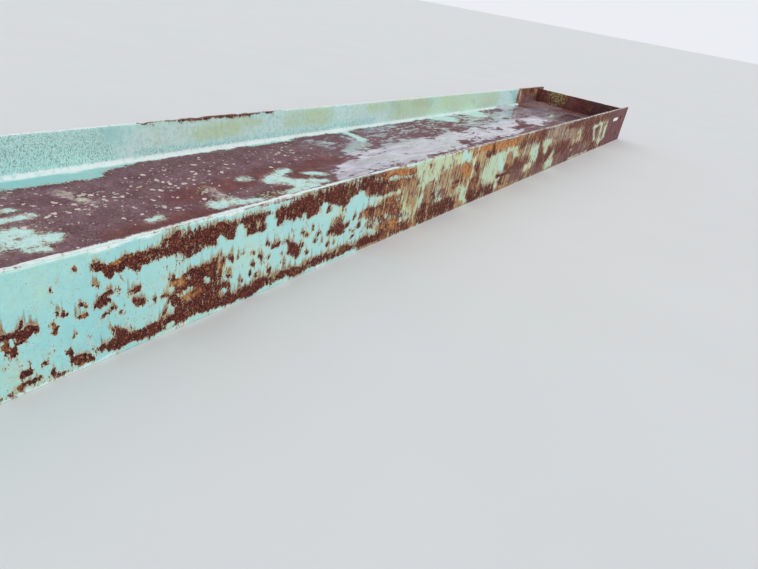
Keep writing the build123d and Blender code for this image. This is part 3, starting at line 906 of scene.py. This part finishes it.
def makePaintMaterial():
    made, shader, place = newMaterial("weathered_paint")
    loss, ember, stain, mauve = brushedShares("wear")
    wet, chalkAndLight, grime, primer = brushedShares("film")
    runs = addNode("Attribute", attribute_name="runs").outputs["Fac"]
    edge = useGroup(edgeGroup, Vector=place, Loss=loss, Streaks=spread(stain, 0.6, 0.85))
    bare = edge["Bare"]
    rust = useGroup(rustGroup, Vector=place, Ember=ember, Mauve=mauve)
    streak = useGroup(runGroup, Vector=place, Amount=runs)["Mask"]
    large = stretched(place, (0.7, 0.7, 0.7))
    drips = useGroup(runGroup, Vector=large, Amount=spread(stain, 0.58, 0.95, 0.0, 0.6))["Mask"]
    # paint: its own tones, yellowed with age, paler with chalk, which also stands in for the brighter light on the
    # far flange, drips, rust runs, a rim round bare spots and dark dots
    slow = clouds(place, 5, 4, 0.6)
    mid = clouds(place, 55, 4, 0.6)
    fine = clouds(place, 300, 3, 0.65, (1.0, 1.0, 0.5))
    paint = mixColor(spread(slow, 0.3, 0.7), tint(152, 212, 215), tint(172, 220, 215))
    paint = mixColor(spread(mid, 0.35, 0.75, 0.0, 0.35), paint, tint(136, 190, 180))
    aged = spread(plus(stain, spread(slow, 0.3, 0.7, -0.25, 0.25)), 0.15, 0.95, 0.0, 0.8)
    paint = mixColor(aged, paint, mixColor(mid, tint(190, 204, 140), tint(216, 188, 122)))
    # chalk's colour: light mint where it is thinner, which paints the far flange lighter, and near white where it is
    # thickest
    pale = mixColor(spread(chalkAndLight, 0.85, 1.0), tint(208, 244, 238), tint(232, 240, 238))
    aged = spread(plus(stain, spread(slow, 0.3, 0.7, -0.1, 0.1)), 0.3, 0.62, 0.0, 0.85)
    pale = mixColor(aged, pale, tint(204, 222, 172))
    paint = mixColor(times(chalkAndLight, spread(mid, 0.2, 0.55)), paint, pale)
    paint = mixColor(times(drips, 0.7), paint, tint(140, 104, 66))
    brown = mixColor(spread(fine, 0.35, 0.65), tint(104, 62, 26), tint(178, 132, 66))
    paint = mixColor(times(streak, 0.9), paint, brown)
    rim = mixColor(spread(weighed(stain, 0.4, mid), 0.45, 0.85), tint(206, 208, 180), tint(170, 124, 74))
    paint = mixColor(times(edge["Rim"], 0.85), paint, rim)
    hair = clouds(place, 1.0, 2, 0.6, (420.0, 420.0, 210.0))
    paint = mixColor(spread(weighed(grime, 0.14, hair), 0.67, 0.74, 0.0, 0.75), paint, tint(96, 128, 124))
    # rust, with the primer's red and pale specks where they show
    crowd = spread(clouds(place, 6, 3, 0.6), 0.35, 0.65, -0.05, 0.05)
    big = spread(plus(crowd, clouds(place, 58, 3, 0.6, (0.75, 1.0, 1.0))), 0.655, 0.68)
    small = spread(plus(crowd, clouds(place, 170, 2, 0.6)), 0.66, 0.69, 0.0, 0.8)
    flecks = times(maths("MAXIMUM", big, small), spread(mauve, 0.5, 0.85))
    steelTone = mixColor(times(primer, spread(mid, 0.45, 0.6)), rust["Color"], tint(158, 74, 72))
    steelTone = mixColor(times(chalkAndLight, spread(mid, 0.4, 0.6, 0.0, 0.8)), steelTone, tint(220, 206, 204))
    steelTone = mixColor(flecks, steelTone, mixColor(mid, tint(222, 214, 196), tint(176, 186, 170)))
    color = mixColor(bare, paint, steelTone)
    # a thin film of rain darkens what it wets; the sky's reflection in it is painted into the colour as pale lavender
    # streaks, weaker on paint than on bare steel, and a deep pool gets little of it and stays dark
    damp = weighed(clouds(place, 46, 4, 0.6, (0.35, 1.0, 1.0), 0.3), 0.42,
                   clouds(place, 13, 4, 0.6, (0.45, 1.0, 1.0), 0.5), 0.58)
    wetAndSheen = spread(plus(wet, spread(damp, 0.38, 0.62, -0.6, 0.6)), 0.3, 0.72, soft=True)
    wetAndSheen = times(wetAndSheen, spread(wet, 0.05, 0.3))
    color = mixColor(times(wetAndSheen, 0.45), color, mixColor(1.0, color, tint(120, 110, 122), "MULTIPLY"))
    # streaks of the painted sky reflection on the wet film
    reflectionStreaks = spread(clouds(place, 24, 5, 0.6, (0.25, 1.0, 1.0), 0.4), 0.34, 0.66)
    paintedSkyReflection = times(wetAndSheen, spread(reflectionStreaks, 0, 1, 0.24, 0.74))
    paintedSkyReflection = times(times(paintedSkyReflection, spread(wet, 1.02, 1.16, 1.0, 0.1)), spread(bare, 0, 1, 0.45, 1.0))
    color = mixColor(paintedSkyReflection, color, mixColor(reflectionStreaks, tint(172, 159, 194), tint(230, 230, 248)))
    gloss = spread(bare, 0, 1, 0.42, rust["Roughness"])
    height = weighed(edge["Film"], 0.55, times(rust["Height"], times(bare, 0.9)))
    shade(shader, color, spread(wetAndSheen, 0, 1, gloss, 0.3), weighed(fine, 0.05, height), 0.0022)
    plug(shader["Coat Weight"], wetAndSheen)
    shader["Specular IOR Level"].default_value = 0.22
    shader["Coat Roughness"].default_value = 0.07
    shader["Coat IOR"].default_value = 2.1
    return made


def finishPiece(piece, material, node=None, angle=35):
    piece.data.materials.clear()
    piece.data.materials.append(material)
    choose(piece)
    bpy.ops.object.shade_smooth_by_angle(angle=math.radians(angle))
    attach(piece, "root")
    if node:
        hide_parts(node)


finishPiece(steel, makePaintMaterial(), "rolled_beam", 32)
print("beam finished")

# Stiffener plates by the drilled end: clipped corners, and rippled beads along the web and the flanges
plate = {
    "x": 2.906, "thick": 0.016, "reach": 0.3987, "foot": 0.153, "top": 0.283, "clip": 0.025, "softEdge": 0.0009,
    "beadRadius": 0.01265, "beadSides": 44, "beadSunk": 0.004, "beadStop": 0.006, "ripple": 0.0056,
    "rippleDepth": 0.0008, "lipCuts": 110,
    "dents": ((0.31, 0.02, 0.0016), (0.12, 0.03, 0.0022), (-0.08, 0.02, 0.0014), (-0.24, 0.04, 0.0020)),
}


def drawBead(face, start, end):  # face is -1 or 1; a bead runs along the web (y) or up a flange (z)
    run = Vector(end) - Vector(start)
    upright = abs(run.z) > abs(run.y)
    out = Vector((face, 0, 0))
    other = Vector((0, -math.copysign(1, start[1]), 0)) if upright else Vector((0, 0, 1))
    root = Vector((plate["x"] + face * plate["thick"] / 2, start[1], start[2]))
    middle = root + run / 2 - (out + other) * plate["beadSunk"]
    choose()
    bpy.ops.mesh.primitive_cylinder_add(
        vertices=plate["beadSides"], radius=plate["beadRadius"], depth=run.length, location=middle,
        rotation=(0, 0, 0) if upright else (math.radians(90), 0, 0))
    bead = newPiece("bead")
    startEdit(bead)
    for axis in (out, other):
        pickAll()
        bpy.ops.mesh.bisect(plane_co=root, plane_no=axis, use_fill=True, clear_inner=True)
    line = 2 if upright else 1
    pickEdges(bead, lambda a, b: abs(a[:, line] - b[:, line]) > run.length * 0.9)
    bpy.ops.mesh.subdivide(number_cuts=int(run.length / plate["ripple"] * 3))
    endEdit()
    spots = placesOf(bead.data)
    away = spots - np.array(middle)
    away[:, line] = 0
    free = ((spots - np.array(root)) @ np.array(out) > 2e-4) & ((spots - np.array(root)) @ np.array(other) > 2e-4)
    turn = np.arctan2(away @ np.array(out), away @ np.array(other)) - math.pi / 4
    wave = 0.5 + 0.5 * np.cos((spots[:, line] + 0.0016 * np.cos(turn * 3.4)) * math.tau / plate["ripple"])
    wave += 0.5 * np.sin(spots[:, line] * 190) * np.sin(spots[:, line] * 77 + 1)
    sink = plate["rippleDepth"] * wave * free
    spots -= away / np.maximum(np.linalg.norm(away, axis=1), 1e-6)[:, None] * sink[:, None]
    movePlaces(bead.data, spots)
    return bead


def drawPlate():
    foot, top, reach, thick = plate["foot"], plate["top"], plate["reach"], plate["thick"]
    piece = addBlock("upper_plate", (plate["x"] - thick / 2, -reach, foot), (plate["x"] + thick / 2, reach, top))
    pickEdges(piece, lambda a, b: (a[:, 2] < foot + 1e-4) & (b[:, 2] < foot + 1e-4) & (abs(a[:, 0] - b[:, 0]) > 0.01))
    bpy.ops.mesh.bevel(offset=plate["clip"], segments=1, affect="EDGES")
    pickAll()
    bpy.ops.mesh.bevel(offset=plate["softEdge"], segments=2, affect="EDGES")
    pickEdges(piece, lambda a, b: abs(a[:, 1] - b[:, 1]) > 0.6)
    bpy.ops.mesh.subdivide(number_cuts=plate["lipCuts"])
    endEdit()
    spots = placesOf(piece.data)
    lip = spots[:, 2] > top - 0.002
    for place, wide, deep in plate["dents"]:
        spots[:, 2] -= lip * deep * np.clip(1 - abs(spots[:, 1] - place) / wide, 0, 1)
    spots[:, 2] -= lip * 0.0004 * (1 + np.sin(spots[:, 1] * 61) * np.sin(spots[:, 1] * 143 + 2))
    movePlaces(piece.data, spots)
    beads = []
    edge = reach - plate["clip"] - plate["beadStop"]
    low, high = foot + plate["clip"] + plate["beadStop"], top - plate["beadStop"]
    for face in (-1, 1):
        beads.append(drawBead(face, (0, -edge, foot), (0, edge, foot)))
        for side in (-reach, reach):
            beads.append(drawBead(face, (0, side, low), (0, side, high)))
    return joined(piece, *beads)


def makePlateMaterial():
    made, shader, place = newMaterial("bare_plate")
    split = addNode("SeparateXYZ")
    plug(split.inputs[0], place)
    y, z = split.outputs[1], split.outputs[2]
    slow = clouds(place, 9, 4, 0.6)
    mid = clouds(place, 60, 4, 0.65)
    ember, mauve = spread(slow, 0.3, 0.7, 0.0, 0.22), spread(slow, 0.35, 0.6, 0.5, 0.05)
    rust = useGroup(rustGroup, Vector=place, Ember=ember, Mauve=mauve)
    color = mixColor(spread(mid, 0.5, 0.6, 0.0, 0.45), rust["Color"], tint(122, 66, 58))
    # green growth that stains the plate beside the far flange
    near = maths("SUBTRACT", 1.0, maths("ABSOLUTE", weighed(y, 7.5, -1.5)))
    green = spread(plus(near, spread(plus(slow, mid), 0.75, 1.25, -1.2, 0.6)), 0.0, 0.75, soft=True)
    growth = mixColor(spread(mid, 0.35, 0.65), tint(84, 74, 44), tint(172, 164, 112))
    color = mixColor(times(green, spread(mid, 0.3, 0.6, 0.35, 0.95)), color, growth)
    # darker towards the drilled flange, and a lighter upper edge, partly rubbed and partly a painted highlight
    damp = spread(weighed(slow, 0.25, y), 0.16, -0.12, soft=True)
    color = mixColor(times(damp, 0.55), color, tint(50, 38, 42))
    # the upward-facing top rim is painted lighter as a highlight, with some rubbing
    fromWeb = maths("ABSOLUTE", plus(z, -beam["width"] / 2))
    rubbedAndHighlit = times(spread(fromWeb, 0.1362, 0.1368), spread(mid, 0.35, 0.55))
    color = mixColor(times(rubbedAndHighlit, 0.7), color, tint(178, 150, 134))
    shade(shader, color, spread(damp, 0, 1, rust["Roughness"], 0.62), rust["Height"], 0.0018)
    shader["Specular IOR Level"].default_value = 0.22
    return made


plateMaterial = makePlateMaterial()
upperPlate = drawPlate()
lowerPlate = twinOf(upperPlate)
lowerPlate.name = lowerPlate.data.name = "lower_plate"
startEdit(lowerPlate)
pickAll()
bpy.ops.transform.resize(value=(1, 1, -1), center_override=(0, 0, beam["width"] / 2))
endEdit()
finishPiece(upperPlate, plateMaterial, "upper_stiffener")
finishPiece(lowerPlate, plateMaterial, "lower_stiffener")
print("stiffeners finished")

# Paint chips on the web, silt in the corner by the plate, and a blank label by the holes
chips = {
    "count": 260, "small": 0.0022, "large": 0.0082, "height": 0.0012, "sunk": 0.0003, "sides": 9,
    "fields": (  # middle along the beam and across it, spread along and across, share
        (-1.90, 0.12, 0.32, 0.13, 0.30), (-1.45, 0.18, 0.28, 0.10, 0.22), (-1.55, -0.02, 0.25, 0.08, 0.14),
        (-0.95, 0.22, 0.30, 0.09, 0.16), (-2.45, 0.12, 0.22, 0.12, 0.10), (0.40, 0.22, 0.60, 0.08, 0.08),
    ),
}


def drawChips():
    choose()
    bpy.ops.mesh.primitive_circle_add(vertices=chips["sides"], radius=1, fill_type="NGON", location=(0, 0, 0))
    first = newPiece("paint_chips")
    startEdit(first, "FACE")
    pickAll()
    bpy.ops.mesh.extrude_region_move(TRANSFORM_OT_translate={"value": (0, 0, 0.7)})
    bpy.ops.mesh.inset(thickness=0.22, depth=0.3)
    endEdit()
    pattern = placesOf(first.data)
    angle = np.arctan2(pattern[:, 1], pattern[:, 0])
    dice = random.Random(11)
    laid = [first] + [twinOf(first) for count in range(chips["count"] - 1)]
    for chip in laid:
        x, y, wide, deep, share = dice.choices(chips["fields"], [field[4] for field in chips["fields"]])[0]
        x, y = dice.gauss(x, wide * 0.55), max(-0.28, min(0.34, dice.gauss(y, deep * 0.7)))
        size = chips["small"] + (chips["large"] - chips["small"]) * dice.random() ** 2.2
        turn = dice.uniform(0, math.tau)
        ragged = 1 + 0.22 * np.sin(angle * 2 + dice.uniform(0, 6)) + 0.16 * np.sin(angle * 3 + dice.uniform(0, 6))
        flat = pattern[:, :2] * (ragged * size)[:, None] * np.array((dice.uniform(1.0, 1.6), 1.0))
        spots = pattern * chips["height"]
        spots[:, 0] = x + flat[:, 0] * math.cos(turn) - flat[:, 1] * math.sin(turn)
        spots[:, 1] = y + flat[:, 0] * math.sin(turn) + flat[:, 1] * math.cos(turn)
        spots[:, 2] += plate["foot"] - chips["sunk"]
        movePlaces(chip.data, spots)
    return joined(*laid)


def makeChipMaterial():
    made, shader, place = newMaterial("old_paint_chip")
    grain = clouds(place, 420, 3, 0.7)
    color = mixColor(spread(clouds(place, 21, 2, 0.6), 0.42, 0.58), tint(228, 208, 204), tint(200, 188, 178))
    color = mixColor(spread(grain, 0.52, 0.7, 0.0, 0.55), color, tint(150, 124, 104))
    shade(shader, color, 0.62, grain, 0.0006, 0.7)
    return made


silt = {
    "low": (2.44, 0.10), "high": (2.898, 0.3985), "height": 0.017, "cuts": 54, "sunk": 0.0008,
    "seatHeight": 0.0062, "seatReach": 0.012,  # where it climbs the plate
}


def drawSilt():
    low, high = np.array(silt["low"]), np.array(silt["high"])
    web = plate["foot"]
    heap = addBlock("corner_silt", (*low, web - 0.0005), (*high, web + 0.0005), "FACE")
    pickFaces(heap, lambda c, n: n[:, 2] > 0.9)
    bpy.ops.mesh.subdivide(number_cuts=silt["cuts"])
    endEdit()
    spots = placesOf(heap.data)
    along, across = ((spots[:, :2] - low) / (high - low)).T
    edge = np.minimum(1, 4 * np.minimum(along, across))
    pile = np.clip(along * 1.1 + across * 0.9 - 0.75, 0, 1) ** 1.4 * edge
    rough = np.array([noise.fractal(Vector(p) * 24, 1.0, 2.0, 4) for p in spots])
    fine = np.array([noise.noise(Vector(p) * 150) for p in spots])
    lift = silt["height"] * pile * (0.8 + 0.7 * rough) + 0.0016 * fine * np.clip(pile * 6, 0, 1) - silt["sunk"]
    seat = silt["seatHeight"] * np.clip(1 - (high[0] - spots[:, 0]) / silt["seatReach"], 0, 1) * (pile > 0.05)
    spots[:, 2] = np.where(spots[:, 2] > web, web + np.clip(lift + seat, -silt["sunk"], 0.03), web - 0.001)
    movePlaces(heap.data, spots)
    return heap


def makeSiltMaterial():
    made, shader, place = newMaterial("dry_silt")
    grain = clouds(place, 260, 4, 0.75)
    color = mixColor(clouds(place, 30, 4, 0.6), tint(92, 66, 60), tint(142, 108, 100))
    color = mixColor(spread(grain, 0.53, 0.62, 0.0, 0.85), color, tint(206, 184, 182))
    color = mixColor(spread(grain, 0.44, 0.34, 0.0, 0.8), color, tint(48, 34, 34))
    shade(shader, color, 0.92, grain, 0.003)
    return made


label = {
    "low": (2.592, 0.197), "high": (2.740, 0.224), "thick": 0.0005, "corner": 0.004, "cuts": 24,
    "curlReach": 0.03, "curl": 0.0022,  # one corner has lifted
}


def drawLabel():
    (x0, z0), (x1, z1) = label["low"], label["high"]
    face, thick, reach = -beam["depth"] / 2, label["thick"], label["curlReach"]
    piece = addBlock("blank_label", (x0, face - thick, z0), (x1, face + thick, z1))
    pickEdges(piece, lambda a, b: abs(a[:, 1] - b[:, 1]) > thick)
    bpy.ops.mesh.bevel(offset=label["corner"], segments=3, affect="EDGES")
    pickEdges(piece, lambda a, b: (abs(a[:, 2] - b[:, 2]) < 1e-6) & (abs(a[:, 0] - b[:, 0]) > 0.1))
    bpy.ops.mesh.subdivide(number_cuts=label["cuts"])
    endEdit()
    spots = placesOf(piece.data)
    curl = np.clip((spots[:, 0] - x1 + reach) / reach, 0, 1) ** 2 * np.clip((spots[:, 2] - z0) / reach, 0, 1)
    spots[:, 1] -= label["curl"] * curl
    movePlaces(piece.data, spots)
    return piece


def makeLabelMaterial():
    made, shader, place = newMaterial("blank_label")
    slow = clouds(place, 40, 4, 0.6)
    color = mixColor(spread(slow, 0.35, 0.7, 0.0, 0.5), tint(244, 243, 238), tint(214, 204, 190))
    color = mixColor(spread(clouds(place, 300, 3, 0.7), 0.62, 0.72, 0.0, 0.6), color, tint(150, 120, 100))
    shade(shader, color, 0.5, slow, 0.0008, 0.5)
    return made


finishPiece(drawChips(), makeChipMaterial())
finishPiece(drawSilt(), makeSiltMaterial(), angle=60)
finishPiece(drawLabel(), makeLabelMaterial())
print("chips, silt and label laid")
